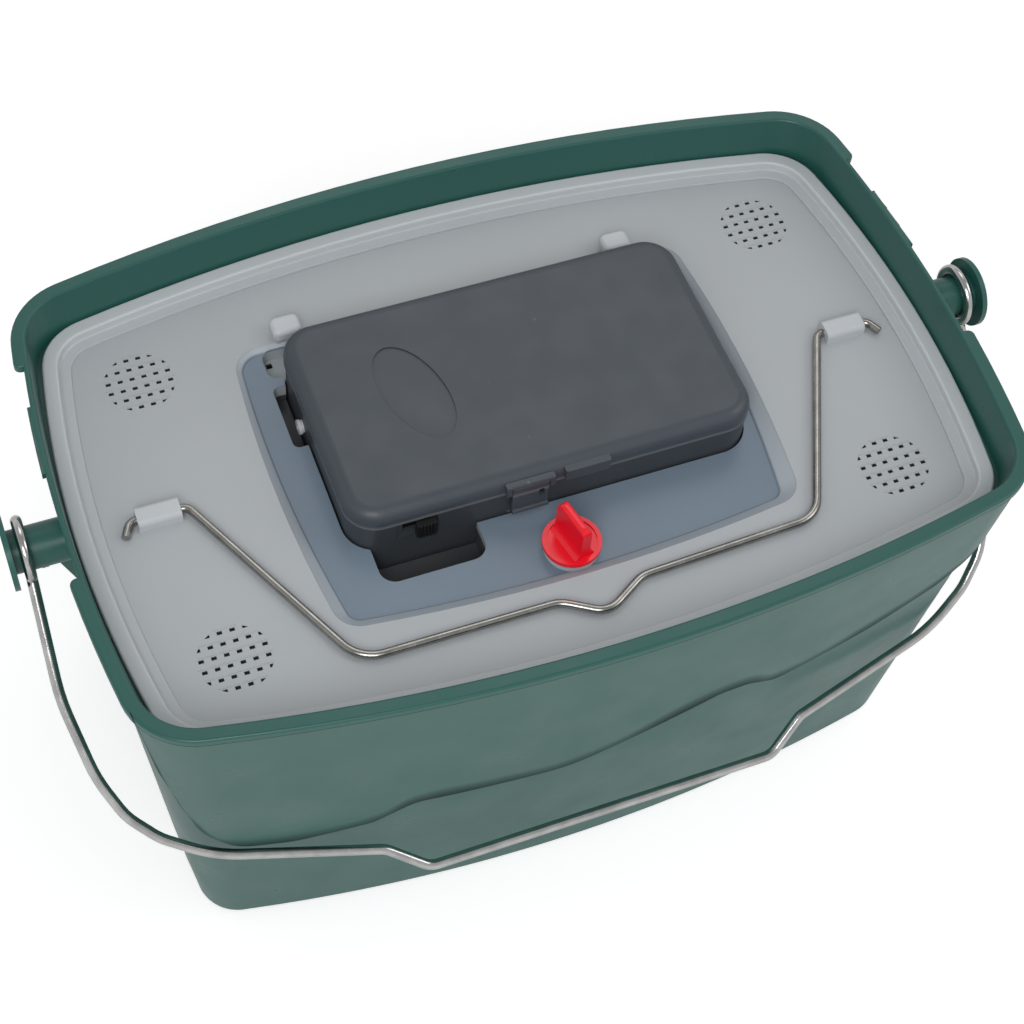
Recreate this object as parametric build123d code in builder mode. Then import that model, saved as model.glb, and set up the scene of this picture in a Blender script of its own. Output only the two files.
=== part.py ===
"""Aerated bait bucket: a tapered green bucket with a wire bail, a drop-in vented lid with its own
wire handle and drain plug, and a battery air pump that stands in a well in the lid.

Millimetres, +Z up, X along the long side, +Y to the back.  The origin is the centre of the
bucket's flat underside.
"""
import os
from math import cos, radians, sin, tan

from build123d import *

os.makedirs("parts", exist_ok=True)

# ---------------------------------------------------------------- driving dimensions
# bucket
bucket_height = 191.0
rim_half_length, rim_half_width = 169.5, 112.0      # outer face of the wall at the rim
foot_half_length, foot_half_width = 155.4, 93.0     # outer face of the wall at the foot
rim_corner_radius, foot_corner_radius = 24.0, 17.0
bucket_wall = 2.2
bucket_floor = 2.6
foot_edge_radius = 4.0
long_side_bow = 0.0007                              # outward bow in 1/mm: drop = bow * x^2
short_side_bow = 0.0009
lip_overhang, lip_thickness, lip_edge_radius = 3.4, 3.2, 1.0
lip_gap_front, lip_gap_back = -27.0, 66.0           # the lip is cut away beside each stud
lip_end_radius = 2.5
strip_overhang, strip_front, strip_back = 1.1, 18.0, 48.0   # thin strip left in that gap
raised_panel_height = 3.0                           # how far the upper panels stand proud
step_edge_radius = 2.6
ledge_width, ledge_thickness = 3.0, 2.4             # the lid rests on this inner ledge

# studs that carry the bail
stud_drop = 15.5                                    # stud axis below the rim
stud_radius, stud_length = 7.9, 18.0
stud_head_radius, stud_head_thickness = 13.5, 2.0
nub_width, nub_height, nub_length = 5.0, 3.0, 2.5
gusset_reach, gusset_drop, gusset_thickness = 9.0, 26.0, 3.0

# bail
bail_wire = 4.0
bail_eye_gap, bail_side_play = 0.3, 2.5             # round the stud, and along it
bail_rest_gap = 2.8                                 # to the lower front wall at rest
bail_shape = [(185.0, 55.0), (180.5, 87.0), (174.0, 104.0), (164.5, 115.5), (147.0, 128.0),
              (86.0, 146.0), (71.0, 158.0)]         # (x, reach from the stud axis)
bail_radii = [80.0, 60.0, 25.0, 25.0, 60.0, 9.0, 9.0]

# lid
lid_panel_drop = 21.0                               # top of the lid's panel below the rim
lid_edge_gap, lid_seat_gap, ledge_side_gap = 0.4, 0.3, 0.8
lid_corner_radius = 22.0
lid_short_bow = 0.0012
lid_thickness = 2.0
flange_width, flange_rise, flange_edge_radius = 6.0, 5.0, 0.9
bead_width, bead_rise, bead_edge_radius = 4.5, 1.0, 0.6

# vents: four round fields of small holes
vent_x, vent_y = 125.9, 62.3
vent_rows, vent_pitch, vent_length, vent_width = 6, 4.5, 1.9, 1.4
vent_field_radius = 13.2

# sunken tray round the pump
tray_half_length, tray_front, tray_back, tray_corner_radius = 93.0, -69.5, 64.5, 10.5
tray_short_bow, tray_widest_y = 0.001, 8.0
tray_depth_front, tray_depth_back = 6.0, 2.35
tray_draft = 46.0

# pump: a case that stands in the well, and a hinged cover
pump_x, pump_y = 4.3, 12.4
pump_length, pump_width = 156.5, 90.8
pump_corner_radius = 12.0
case_depth, case_height, cover_height = 29.0, 37.5, 6.9
case_edge_radius, cover_edge_radius = 3.0, 5.0
pump_wall = 2.2
case_lip_reach, case_lip_height = 0.5, 1.2
parting_gap = 0.3
well_gap, well_wall = 0.7, 1.8
seat_gap = 0.3                                      # resting pieces of different bodies

# recesses in the lid beside the pump
switch_bay_left, switch_bay_right, switch_bay_reach = -67.5, -27.5, 15.0
switch_bay_depth, switch_bay_radius = 18.0, 6.0
hose_bay_reach, hose_bay_front, hose_bay_back = 6.0, 17.5, 46.0
hose_bay_depth, hose_bay_radius = 12.0, 2.5
notch_left, notch_right, notch_front, notch_back = -79.5, -66.0, 50.0, 63.0
notch_depth, notch_radius, notch_hole, notch_hole_edge = 8.0, 4.0, 2.4, 1.4
post_offsets = [-72.05, 62.95]                      # from the pump's centre
post_width, post_depth, post_rise, post_neck = 11.5, 9.0, 6.4, 2.5
post_gap, post_undercut = 5.2, 1.0                  # behind the case, and under the head
post_corner_radius, post_edge_radius = 2.5, 1.8

# cover hinge, latch, tab and bare badge recess
hinge_offset, hinge_drop, hinge_spacing = 2.4, 2.9, 80.0
hinge_pin_radius, hinge_clearance = 0.8, 0.05
knuckle_radius, knuckle_length, knuckle_gap, hinge_arm_rise = 1.6, 8.0, 0.3, 1.6
latch_x, latch_width, latch_drop, latch_thickness = -8.0, 13.8, 13.6, 1.4
latch_axis_rise, latch_offset, latch_barrel, latch_pin_radius = 2.4, 1.4, 1.1, 0.5
latch_hood_wall, latch_hood_height, latch_gap, latch_hood_radius = 2.4, 4.8, 0.35, 0.7
latch_slot_width, latch_slot_height, latch_slot_margin = 2.0, 3.6, 1.6
catch_width, catch_height, catch_reach = 9.0, 1.2, 0.3
tab_x, tab_width, tab_height, tab_reach = 14.2, 17.5, 5.0, 1.8
badge_x, badge_y, badge_length, badge_width = -34.8, 14.7, 46.0, 23.0
badge_depth, badge_turn = 0.6, 102.0
gasket_width, gasket_height, gasket_inset = 1.0, 1.0, 0.6

# slide switch
switch_x, switch_travel, switch_drop = -47.2, 6.0, 5.6      # knob centre below the parting line
knob_width, knob_height, knob_reach, knob_rib = 7.5, 7.0, 2.6, 0.5
switch_stem, switch_shoe, switch_gap, slot_top_reach = 3.5, 5.5, 0.4, 2.5
switch_body_length, switch_body_depth, switch_body_height = 19.5, 7.5, 9.4
switch_recess_depth = 0.9

# batteries, two D cells lying along X, and their contacts
cell_radius, cell_length, cell_pitch = 16.8, 59.5, 34.6
cell_nub_radius, cell_nub_length = 4.7, 1.6
cell_edge_radius, cell_lift = 1.0, 0.3
partition_x, partition_thickness = 7.0, 2.0
rib_thickness, rib_height, rib_spacing = 2.0, 8.0, 32.0
contact_thickness, contact_width, contact_height = 0.5, 14.0, 18.0
spring_wire, spring_turns, spring_radius = 0.9, 3.0, 5.5

# air mechanism
mech_x, mech_y, mech_rise = -12.0, 27.0, 16.8       # motor axis, air chamber plane, axis height
motor_radius, motor_length, motor_boss_radius, motor_boss_length = 12.0, 30.0, 3.0, 1.5
motor_cap_length, motor_edge_radius = 2.0, 1.0
shaft_radius, shaft_clearance, shaft_depth = 1.0, 0.05, 10.0
bracket_thickness, bracket_width, bracket_foot = 2.0, 28.0, 13.0
crank_gap, crank_radius, crank_width = 0.5, 6.0, 3.0
crank_throw, crank_pin_radius, crank_pin_length = 1.5, 1.0, 3.6
yoke_gap, yoke_thickness, yoke_rim = 0.5, 2.0, 2.5
rod_radius, rod_travel, rod_clearance = 2.5, 1.5, 0.08
guide_x, guide_length, guide_width = -35.0, 6.0, 11.0
chamber_radius, chamber_wall, chamber_length, chamber_end = 14.0, 2.5, 20.0, 4.0
chamber_gap = 5.8                                   # case wall to the chamber's closed end
chamber_foot = 12.0
diaphragm_thickness, clamp_thickness, clamp_rim = 2.0, 2.5, 4.0
piston_radius, piston_thickness, piston_depth = 6.0, 1.5, 2.6
flap_radius, flap_thickness, flap_offset, port_radius = 3.5, 0.8, 5.5, 1.2
nozzle_radius, nozzle_bore, nozzle_reach, nozzle_rise = 2.5, 1.3, 2.0, 5.5
nozzle_barb, nozzle_barb_length = 0.4, 1.2
deck_gap, deck_thickness, deck_margin = 0.3, 1.8, 1.0
post_radius, post_inset = 3.0, 5.8
screw_radius, screw_head_radius, screw_head_height, screw_length = 1.2, 2.4, 1.5, 9.0
screw_slot_width, screw_slot_depth, screw_clearance = 0.6, 0.6, 0.1

# drain plug in the tray
plug_x, plug_y = 0.9, -54.5
plug_flange_radius, plug_flange_thickness = 10.8, 1.2
plug_rim_width, plug_rim_rise = 1.6, 0.6
plug_stem_radius, plug_stem_length, plug_stem_chamfer = 7.5, 11.0, 1.0
plug_fin_length, plug_fin_height, plug_fin_thickness, plug_fin_turn = 16.5, 15.4, 3.8, -78.0
plug_fin_flare, plug_fin_round, plug_fin_corner = 2.2, 1.5, 2.8
seal_clearance, seal_sleeve, seal_flange, seal_thickness, seal_depth = 0.1, 1.4, 0.6, 1.2, 4.5
plug_hole_gap, plug_boss_width, plug_boss_rise = 0.3, 0.9, 1.8

# lid handle and its clips
handle_wire, handle_lift = 3.2, 0.4
handle_axis_y = 1.5
handle_tip_reach, handle_tip_y = 148.5, -4.5
handle_grip = [(-86.3, -78.0), (-13.5, -78.6), (1.5, -87.9), (18.0, -77.8), (88.0, -75.2)]
handle_radii = [4.0, 4.0, 14.0, 12.0, 8.6, 12.0, 13.0, 4.0, 4.0]
handle_bend_margin = 2.6                            # from a clip's end to the corner of the bend
clip_x, clip_length, clip_width, clip_height = 135.1, 15.8, 8.5, 5.3
clip_edge_radius = 2.4
clip_clearance, clip_foot_length, clip_foot_width, clip_foot_depth = 0.08, 10.0, 2.0, 3.4

# ---------------------------------------------------------------- derived levels and places
panel_z = bucket_height - lid_panel_drop
flange_z = panel_z + flange_rise
ledge_z = flange_z - lid_thickness - lid_seat_gap
stud_z = bucket_height - stud_drop
stud_end_x = rim_half_length + stud_length
bail_eye_x = stud_end_x - bail_side_play - bail_wire / 2
bail_eye_radius = stud_radius + bail_eye_gap + bail_wire / 2

case_bottom = panel_z - case_depth
parting_z = case_bottom + case_height
cover_bottom = parting_z + parting_gap
cover_top = cover_bottom + cover_height
well_bottom = case_bottom - seat_gap
inner_floor = case_bottom + pump_wall
pump_left = pump_x - pump_length / 2
pump_right = pump_x + pump_length / 2
pump_front = pump_y - pump_width / 2
pump_back = pump_y + pump_width / 2
well_left = pump_left - well_gap
well_front = pump_front - well_gap
hinge_y = pump_back + hinge_offset
hinge_z = parting_z - hinge_drop

mech_z = inner_floor + mech_rise
deck_z = mech_z + chamber_radius + deck_gap
yoke_front = mech_y - yoke_thickness / 2
crank_back = yoke_front - yoke_gap
crank_front = crank_back - crank_width
bracket_back = crank_front - crank_gap
motor_front = bracket_back - bracket_thickness
yoke_slot_half_width = crank_throw + rod_travel + crank_pin_radius + yoke_gap
yoke_slot_half_height = crank_throw + crank_pin_radius + yoke_gap
chamber_closed = pump_left + pump_wall + chamber_gap
chamber_open = chamber_closed + chamber_length

cell_z = inner_floor + cell_lift + cell_radius
bay_left = partition_x + partition_thickness
bay_right = pump_right - pump_wall
latch_y = pump_front - latch_offset
latch_z = cover_bottom + latch_axis_rise
switch_z = parting_z - switch_drop
handle_z = panel_z + handle_lift + handle_wire / 2


def tray_floor(y):
    """Height of the tray's sloping floor at y."""
    share = (y - tray_front) / (tray_back - tray_front)
    return panel_z - tray_depth_front + share * (tray_depth_front - tray_depth_back)


plug_boss_z = tray_floor(plug_y) + plug_boss_rise
seal_z = plug_boss_z + seat_gap
plug_z = seal_z + seal_thickness + seat_gap
seal_radius = plug_stem_radius + seal_clearance + seal_sleeve
plug_hole_radius = seal_radius + plug_hole_gap


# ---------------------------------------------------------------- shared shapes
def bowed_outline(half_x, half_y, corner, bow_x=long_side_bow, bow_y=short_side_bow):
    """Rounded rectangle whose four sides bow outwards, in the XY plane about the origin."""
    corner_x, corner_y = half_x, half_y
    for _ in range(12):
        corner_x = half_x - bow_y * corner_y**2
        corner_y = half_y - bow_x * corner_x**2
    with BuildSketch() as outline:
        with BuildLine():
            ThreePointArc((-corner_x, corner_y), (0, half_y), (corner_x, corner_y))
            ThreePointArc((corner_x, corner_y), (half_x, 0), (corner_x, -corner_y))
            ThreePointArc((corner_x, -corner_y), (0, -half_y), (-corner_x, -corner_y))
            ThreePointArc((-corner_x, -corner_y), (-half_x, 0), (-corner_x, corner_y))
        make_face()
        fillet(outline.vertices(), corner)
    return outline.sketch


def at_height(z, foot_value, rim_value):
    """A bucket size at height z: the walls are straight from foot to rim."""
    return foot_value + (rim_value - foot_value) * z / bucket_height


def bucket_outline(z, offset_by=0.0):
    """The bucket wall's outer outline at height z, moved outwards by offset_by."""
    return bowed_outline(
        at_height(z, foot_half_length, rim_half_length) + offset_by,
        at_height(z, foot_half_width, rim_half_width) + offset_by,
        at_height(z, foot_corner_radius, rim_corner_radius) + offset_by,
    )


lid_seat_z = ledge_z + lid_seat_gap
lid_half_length = at_height(lid_seat_z, foot_half_length, rim_half_length) - bucket_wall - lid_edge_gap
lid_half_width = at_height(lid_seat_z, foot_half_width, rim_half_width) - bucket_wall - lid_edge_gap
web_inset = ledge_width - lid_edge_gap + ledge_side_gap


def lid_outline(inset):
    """The lid's outline, moved inwards by inset."""
    return bowed_outline(lid_half_length - inset, lid_half_width - inset,
                         lid_corner_radius - inset, bow_y=lid_short_bow)


def tray_outline(grow=0.0):
    """The sunken tray's outline at panel level, grown outwards by grow."""
    front, back, side = tray_front - grow, tray_back + grow, tray_half_length + grow
    front_corner_y = front + long_side_bow * side**2
    front_corner_x = side - tray_short_bow * (front_corner_y - tray_widest_y)**2
    back_corner_x = side - tray_short_bow * (back - tray_widest_y)**2
    with BuildSketch() as outline:
        with BuildLine():
            Line((-back_corner_x, back), (back_corner_x, back))
            ThreePointArc((back_corner_x, back), (side, tray_widest_y),
                          (front_corner_x, front_corner_y))
            ThreePointArc((front_corner_x, front_corner_y), (0, front),
                          (-front_corner_x, front_corner_y))
            ThreePointArc((-front_corner_x, front_corner_y), (-side, tray_widest_y),
                          (-back_corner_x, back))
        make_face()
        fillet(outline.vertices(), tray_corner_radius + grow)
    return outline.sketch


def pump_outline(grow=0.0):
    """The pump's rounded rectangle in plan, grown outwards by grow."""
    with BuildSketch() as outline:
        with Locations((pump_x, pump_y)):
            RectangleRounded(pump_length + 2 * grow, pump_width + 2 * grow,
                             pump_corner_radius + grow)
    return outline.sketch


def slab(outline, bottom, top, mode=Mode.ADD):
    """Extrude a plan outline between two heights into the part being built."""
    with BuildSketch(Plane.XY.offset(bottom)) as profile:
        add(outline)
    extrude(profile.sketch, amount=top - bottom, mode=mode)


def block(left, right, front, back, bottom, top, mode=Mode.ADD):
    """A box given by its six faces, in the part being built."""
    with Locations(((left + right) / 2, (front + back) / 2, (bottom + top) / 2)):
        Box(right - left, back - front, top - bottom, mode=mode)


def rod_x(left, right, y, z, radius, mode=Mode.ADD):
    """A round bar along X, in the part being built."""
    with Locations(((left + right) / 2, y, z)):
        Cylinder(radius, right - left, rotation=(0, 90, 0), mode=mode)


def rod_y(front, back, x, z, radius, mode=Mode.ADD):
    """A round bar along Y, in the part being built."""
    with Locations((x, (front + back) / 2, z)):
        Cylinder(radius, back - front, rotation=(90, 0, 0), mode=mode)


def rod_z(bottom, top, x, y, radius, mode=Mode.ADD):
    """A round bar along Z, in the part being built."""
    with Locations((x, y, (bottom + top) / 2)):
        Cylinder(radius, top - bottom, mode=mode)


def save(builder, name):
    """Label a finished piece and write it."""
    builder.part.label = name
    export_step(builder.part, f"parts/{name}.step")


# ---------------------------------------------------------------- bucket
# The raised upper panel of the front wall ends in a wandering step.  Points are (x, drop below
# the rim).
step_line = [(-166.0, -5.0), (-161.0, 41.0), (-151.0, 89.0), (-139.0, 107.0), (-118.0, 109.5),
             (-88.0, 104.0), (-73.0, 92.0), (-45.0, 93.5), (-14.0, 95.5), (44.0, 72.5),
             (55.0, 73.5), (68.0, 81.0), (108.0, 71.0), (137.0, 60.0), (156.0, 41.0),
             (166.0, -5.0)]
step_radii = [60, 30, 14, 30, 12, 10, 40, 40, 10, 10, 10, 40, 16, 30]

with BuildPart() as raised_panel:
    for z in (0.0, bucket_height):
        with BuildSketch(Plane.XY.offset(z)):
            add(bucket_outline(z, raised_panel_height))
    loft()
    with BuildSketch(Plane.XZ):
        with BuildLine():
            stepped = FilletPolyline(*[(x, bucket_height - drop) for x, drop in step_line],
                                     radius=step_radii)
            Line(stepped @ 1, stepped @ 0)
        make_face()
    extrude(amount=rim_half_width + foot_half_width, mode=Mode.INTERSECT)
    outer_step = raised_panel.edges().filter_by(
        lambda edge: edge.bounding_box().max.Z < panel_z
        and edge.bounding_box().max.Y < -foot_half_width / 4)
    fillet(outer_step, step_edge_radius)

with BuildPart() as bucket:
    for z in (0.0, bucket_height):
        with BuildSketch(Plane.XY.offset(z)):
            add(bucket_outline(z))
    loft()
    fillet(bucket.faces().sort_by(Axis.Z)[0].edges(), foot_edge_radius)
    add(raised_panel.part)
    add(raised_panel.part.rotate(Axis.Z, 180))
    # turned-out lip, cut away beside each stud but for a thin strip
    with BuildSketch(Plane.XY.offset(bucket_height - lip_thickness)) as lip_sheet:
        add(bucket_outline(bucket_height, lip_overhang))
        with Locations((0, (lip_gap_front + lip_gap_back) / 2)):
            Rectangle(3 * rim_half_length, lip_gap_back - lip_gap_front, mode=Mode.SUBTRACT)
        lip_ends = lip_sheet.vertices().filter_by(
            lambda corner: lip_gap_front - 0.1 < corner.Y < lip_gap_back + 0.1)
        fillet(lip_ends, lip_end_radius)
    extrude(amount=lip_thickness)
    with BuildSketch(Plane.XY.offset(bucket_height - lip_thickness)):
        add(bucket_outline(bucket_height, strip_overhang))
        with Locations((0, (strip_front + strip_back) / 2)):
            Rectangle(3 * rim_half_length, strip_back - strip_front, mode=Mode.INTERSECT)
    extrude(amount=lip_thickness)
    # studs with a head, a nub below and a gusset
    for side in (-1, 1):
        wall_x = rim_half_length - bucket_wall
        stud_plane = Plane(origin=(side * wall_x, 0, stud_z), x_dir=(0, 1, 0), z_dir=(side, 0, 0))
        with BuildSketch(stud_plane):
            Circle(stud_radius)
        extrude(amount=stud_end_x - wall_x)
        with BuildSketch(stud_plane.offset(stud_end_x - wall_x)):
            Circle(stud_head_radius)
        extrude(amount=stud_head_thickness)
        nub_end = bail_eye_x - bail_wire / 2 - bail_side_play
        with BuildSketch(stud_plane.offset(nub_end - nub_length - wall_x)):
            with Locations((0, -side * (stud_radius + nub_height) / 2)):
                Rectangle(nub_width, stud_radius + nub_height)
        extrude(amount=nub_length)
        with BuildSketch(Plane.XZ):
            with BuildLine():
                Polyline((side * wall_x, stud_z), (side * (wall_x + gusset_reach), stud_z),
                         (side * wall_x, stud_z - gusset_drop), close=True)
            make_face()
        extrude(amount=gusset_thickness / 2, both=True)
    # hollow
    for z in (bucket_floor, bucket_height):
        with BuildSketch(Plane.XY.offset(z)):
            add(bucket_outline(z, -bucket_wall))
    loft(mode=Mode.SUBTRACT)
    # ledge that the lid rests on
    with BuildSketch(Plane.XY.offset(ledge_z - ledge_thickness)):
        add(bucket_outline(ledge_z - ledge_thickness, -bucket_wall / 2))
        add(bucket_outline(ledge_z, -bucket_wall - ledge_width), mode=Mode.SUBTRACT)
    extrude(amount=ledge_thickness)
    fillet(bucket.faces().sort_by(Axis.Z)[-1].edges(), lip_edge_radius)
save(bucket, "bucket")

# ---------------------------------------------------------------- bail
def bail_clears(degrees):
    """Whether the bail, leaning forward by so many degrees, stays clear of the bowed front wall."""
    for x, reach in bail_shape:
        bail_z = stud_z - reach * cos(radians(degrees))
        wall_out = at_height(bail_z, foot_half_width, rim_half_width) - long_side_bow * x**2
        needed = wall_out + bail_wire / 2 + bail_rest_gap
        if x < rim_half_length - rim_corner_radius / 2 and reach * sin(radians(degrees)) < needed:
            return False
    return True


bail_lean = 0.0                                     # degrees forward from hanging straight down
while not bail_clears(bail_lean):
    bail_lean += 0.5
lean = radians(bail_lean)
bail_plane = Plane(origin=(0, 0, stud_z), x_dir=(1, 0, 0), z_dir=(0, cos(lean), -sin(lean)))
half_bail = [(bail_eye_x, bail_eye_radius)] + bail_shape

with BuildPart() as bail_wire_loop:
    with BuildLine(bail_plane) as bail_path:
        FilletPolyline(*[(-x, reach) for x, reach in half_bail], *reversed(half_bail),
                       radius=bail_radii + bail_radii[::-1])
    with BuildSketch(Plane(origin=bail_path.line @ 0, z_dir=bail_path.line % 0)):
        Circle(bail_wire / 2)
    sweep(path=bail_path.line)
    with Locations((-bail_eye_x, 0, stud_z), (bail_eye_x, 0, stud_z)):
        Torus(bail_eye_radius, bail_wire / 2, rotation=(0, 90, 0))
save(bail_wire_loop, "bail_wire")

# ---------------------------------------------------------------- lid
tray_tool_depth = tray_depth_front + 0.75 * lid_thickness

with BuildPart() as tray_hollow:
    with BuildSketch(Plane.XY.offset(panel_z)):
        add(tray_outline())
    extrude(amount=-tray_tool_depth, taper=tray_draft)
    with BuildSketch(Plane.YZ):
        with BuildLine():
            Polyline((-lid_half_width, tray_floor(-lid_half_width)),
                     (lid_half_width, tray_floor(lid_half_width)),
                     (lid_half_width, flange_z), (-lid_half_width, flange_z), close=True)
        make_face()
    extrude(amount=lid_half_length, both=True, mode=Mode.INTERSECT)

with BuildPart() as tray_skin:
    skin_z = panel_z - lid_thickness / 2
    with BuildSketch(Plane.XY.offset(skin_z)):
        add(tray_outline(lid_thickness / 2))
    extrude(amount=-tray_tool_depth, taper=tray_draft)
    with BuildSketch(Plane.YZ):
        with BuildLine():
            Polyline((-lid_half_width, tray_floor(-lid_half_width) - lid_thickness),
                     (lid_half_width, tray_floor(lid_half_width) - lid_thickness),
                     (lid_half_width, flange_z), (-lid_half_width, flange_z), close=True)
        make_face()
    extrude(amount=lid_half_length, both=True, mode=Mode.INTERSECT)

vent_fields = [(x, y) for x in (-vent_x, vent_x) for y in (-vent_y, vent_y)]
vent_last = vent_rows - 1
vent_spots = [((column - vent_last / 2) * vent_pitch, (row - vent_last / 2) * vent_pitch)
              for column in range(vent_rows) for row in range(vent_rows)
              if not (column in (0, vent_last) and row in (0, vent_last))]

with BuildPart() as post_head:
    block(-post_width / 2, post_width / 2, 0, post_depth, panel_z + post_neck,
          panel_z + post_rise)
    fillet(post_head.edges().filter_by(Axis.Z), post_corner_radius)
    fillet(post_head.faces().sort_by(Axis.Z)[-1].edges(), post_edge_radius)

with BuildPart() as lid:
    slab(lid_outline(0), flange_z - lid_thickness, flange_z)
    slab(lid_outline(web_inset), panel_z - lid_thickness, flange_z)
    # the flange's wall drops to a low bead that runs round inside it
    bead_z = panel_z + bead_rise
    slab(lid_outline(flange_width), bead_z, flange_z, mode=Mode.SUBTRACT)
    slab(lid_outline(flange_width + bead_width), panel_z, bead_z, mode=Mode.SUBTRACT)
    for level, radius in ((flange_z, flange_edge_radius), (bead_z, bead_edge_radius)):
        level_faces = lid.faces().filter_by(Axis.Z).filter_by(
            lambda face: abs(face.center().Z - level) < 0.01)
        fillet(level_faces.edges(), radius)
    # skins of the tray, the pump well and the recesses beside it
    add(tray_skin.part)
    slab(pump_outline(well_gap + well_wall), well_bottom - lid_thickness, panel_z)
    block(switch_bay_left - well_wall, switch_bay_right + well_wall,
          pump_front - switch_bay_reach - well_wall, pump_front,
          panel_z - switch_bay_depth - lid_thickness, panel_z)
    block(pump_left - hose_bay_reach - well_wall, pump_left, hose_bay_front - well_wall,
          hose_bay_back + well_wall, panel_z - hose_bay_depth - lid_thickness, panel_z)
    block(notch_left - well_wall, notch_right + well_wall, notch_front - well_wall,
          notch_back + well_wall, panel_z - notch_depth - lid_thickness, panel_z)
    rod_z(tray_floor(plug_y) - lid_thickness, plug_boss_z, plug_x, plug_y,
          plug_hole_radius + plug_boss_width)
    # hollows
    add(tray_hollow.part, mode=Mode.SUBTRACT)
    rod_z(tray_floor(plug_y) - lid_thickness, plug_boss_z, plug_x, plug_y,
          plug_hole_radius + plug_boss_width)
    slab(pump_outline(well_gap), well_bottom, flange_z, mode=Mode.SUBTRACT)
    with BuildSketch(Plane.XY.offset(panel_z - switch_bay_depth)):
        with Locations(((switch_bay_left + switch_bay_right) / 2, pump_front)):
            RectangleRounded(switch_bay_right - switch_bay_left, 2 * switch_bay_reach,
                             switch_bay_radius)
    extrude(amount=switch_bay_depth, mode=Mode.SUBTRACT)
    with BuildSketch(Plane.XY.offset(panel_z - hose_bay_depth)):
        with Locations((pump_left, (hose_bay_front + hose_bay_back) / 2)):
            RectangleRounded(2 * hose_bay_reach, hose_bay_back - hose_bay_front, hose_bay_radius)
    extrude(amount=hose_bay_depth, mode=Mode.SUBTRACT)
    with BuildSketch(Plane.XY.offset(panel_z - notch_depth)):
        with Locations(((notch_left + notch_right) / 2, (notch_front + notch_back) / 2)):
            RectangleRounded(notch_right - notch_left, notch_back - notch_front, notch_radius)
    extrude(amount=notch_depth, mode=Mode.SUBTRACT)
    for hole_left in (notch_left + notch_hole_edge, notch_right - notch_hole_edge - notch_hole):
        block(hole_left, hole_left + notch_hole, notch_back - notch_hole_edge - notch_hole,
              notch_back - notch_hole_edge, panel_z - notch_depth - lid_thickness,
              panel_z - notch_depth, mode=Mode.SUBTRACT)
    rod_z(panel_z - 3 * tray_depth_front, panel_z, plug_x, plug_y, plug_hole_radius,
          mode=Mode.SUBTRACT)
    # posts behind the pump, each with a rounded head
    post_front = pump_back + post_gap
    for offset_x in post_offsets:
        post_x = pump_x + offset_x
        block(post_x - post_width / 2 + post_undercut, post_x + post_width / 2,
              post_front + post_undercut, post_front + post_depth - post_corner_radius,
              tray_floor(tray_back) - lid_thickness, panel_z + post_neck)
        with Locations((post_x, post_front, 0)):
            add(post_head.part)
    # vent fields, each trimmed to a round outline
    for field in vent_fields:
        with BuildSketch(Plane.XY.offset(panel_z - lid_thickness)):
            with Locations(*[(field[0] + spot[0], field[1] + spot[1]) for spot in vent_spots]):
                Rectangle(vent_length, vent_width)
            with Locations(field):
                Circle(vent_field_radius, mode=Mode.INTERSECT)
        extrude(amount=lid_thickness, mode=Mode.SUBTRACT)
    # slots for the handle clips' feet
    for side in (-1, 1):
        block(side * clip_x - clip_foot_length / 2, side * clip_x + clip_foot_length / 2,
              handle_axis_y - clip_foot_width / 2, handle_axis_y + clip_foot_width / 2,
              panel_z - lid_thickness, panel_z, mode=Mode.SUBTRACT)
save(lid, "lid")

# ---------------------------------------------------------------- lid handle and clips
clip_reach = clip_length / 2 + handle_bend_margin
handle_shape = [(-handle_tip_reach, handle_tip_y), (-clip_x - clip_reach, handle_axis_y),
                (-clip_x + clip_reach, handle_axis_y), *handle_grip,
                (clip_x - clip_reach, handle_axis_y), (clip_x + clip_reach, handle_axis_y),
                (handle_tip_reach, handle_tip_y)]

with BuildPart() as lid_handle:
    with BuildLine(Plane.XY.offset(handle_z)) as handle_path:
        FilletPolyline(*handle_shape, radius=handle_radii)
    with BuildSketch(Plane(origin=handle_path.line @ 0, z_dir=handle_path.line % 0)):
        Circle(handle_wire / 2)
    sweep(path=handle_path.line)
save(lid_handle, "lid_handle")

for side, name in ((-1, "handle_clip_left"), (1, "handle_clip_right")):
    with BuildPart() as handle_clip:
        block(side * clip_x - clip_length / 2, side * clip_x + clip_length / 2,
              handle_axis_y - clip_width / 2, handle_axis_y + clip_width / 2,
              panel_z, panel_z + clip_height)
        long_top = handle_clip.faces().sort_by(Axis.Z)[-1].edges().filter_by(Axis.X)
        fillet(long_top, clip_edge_radius)
        block(side * clip_x - clip_foot_length / 2, side * clip_x + clip_foot_length / 2,
              handle_axis_y - clip_foot_width / 2, handle_axis_y + clip_foot_width / 2,
              panel_z - clip_foot_depth, panel_z)
        rod_x(side * clip_x - clip_length, side * clip_x + clip_length, handle_axis_y, handle_z,
              handle_wire / 2 + clip_clearance, mode=Mode.SUBTRACT)
    save(handle_clip, name)

# ---------------------------------------------------------------- drain plug
with BuildPart() as plug_seal:
    rod_z(seal_z, seal_z + seal_thickness, plug_x, plug_y, seal_radius + seal_flange)
    rod_z(seal_z - seal_depth, seal_z, plug_x, plug_y, seal_radius)
    rod_z(seal_z - seal_depth, seal_z + seal_thickness, plug_x, plug_y,
          plug_stem_radius + seal_clearance, mode=Mode.SUBTRACT)
save(plug_seal, "plug_seal")

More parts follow.
